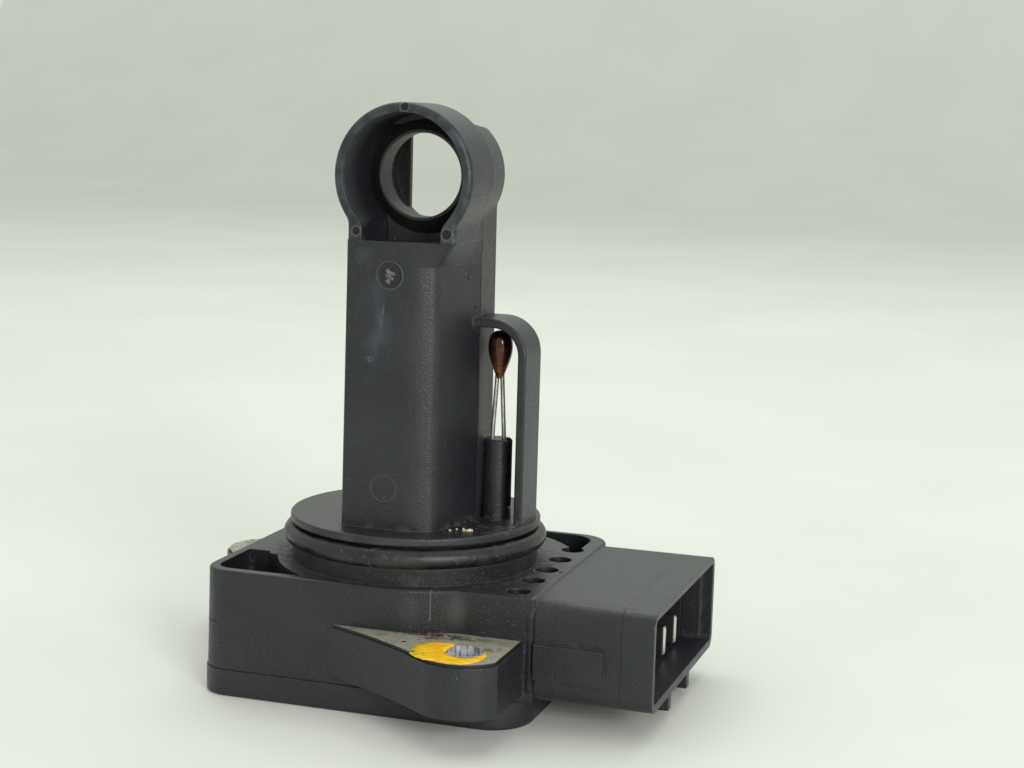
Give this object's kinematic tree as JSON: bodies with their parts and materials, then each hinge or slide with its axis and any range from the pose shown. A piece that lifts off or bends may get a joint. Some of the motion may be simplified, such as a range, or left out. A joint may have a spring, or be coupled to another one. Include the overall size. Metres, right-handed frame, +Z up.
{
  "type": "mass airflow sensor",
  "caption": "Plug-in mass airflow sensor: flat box with blade connector and ears, sealed spigot, tower with ringed air inlet, bypass channel and a guarded thermistor.",
  "frame": {"origin": "on the axis of the sealing spigot, in the plane of the mounting face that it rises from", "axes": "+X along the connector towards its mouth, +Y along the air flow from inlet to outlet, +Z up the tower"},
  "size_m": [0.0699, 0.0491, 0.0746],
  "materials": {
    "housing_plastic": "moulded, slightly shiny, dusty",
    "tower_cover_plastic": "moulded, matt",
    "insert_plastic": "moulded, matt",
    "base_plastic": "moulded, satin",
    "ring_rubber": "greased, shiny",
    "seal_rubber": "matt",
    "ear_plate_steel": "dull, stained",
    "terminal_tin": "tinned",
    "lead_wire": "satin",
    "bead_coating": "dipped, glossy",
    "element_ceramic": "glassy",
    "board_laminate": "lacquered",
    "spreader_aluminium": "satin",
    "chip_black": "matt",
    "capacitor_ceramic": "satin"
  },
  "bodies": {
    "root": {"base_cover": "base_plastic", "bypass_rear_cover": "tower_cover_plastic", "capacitor_1": "capacitor_ceramic", "capacitor_2": "capacitor_ceramic", "capacitor_3": "capacitor_ceramic", "circuit_board": "board_laminate", "compensation_element": "element_ceramic", "control_chip": "chip_black", "cover_seal": "seal_rubber", "front_ear_plate": "ear_plate_steel", "heat_spreader": "spreader_aluminium", "hot_wire_element": "element_ceramic", "housing": "housing_plastic", "o_ring": "ring_rubber", "rear_ear_plate": "ear_plate_steel", "sensor_pin_1": "lead_wire", "sensor_pin_2": "lead_wire", "sensor_pin_3": "lead_wire", "sensor_pin_4": "lead_wire", "terminal_1": "terminal_tin", "terminal_2": "terminal_tin", "terminal_3": "terminal_tin", "terminal_4": "terminal_tin", "terminal_5": "terminal_tin", "thermistor_bead": "bead_coating", "thermistor_lead_left": "lead_wire", "thermistor_lead_right": "lead_wire", "venturi_insert": "insert_plastic"}
  },
  "joints": []
}
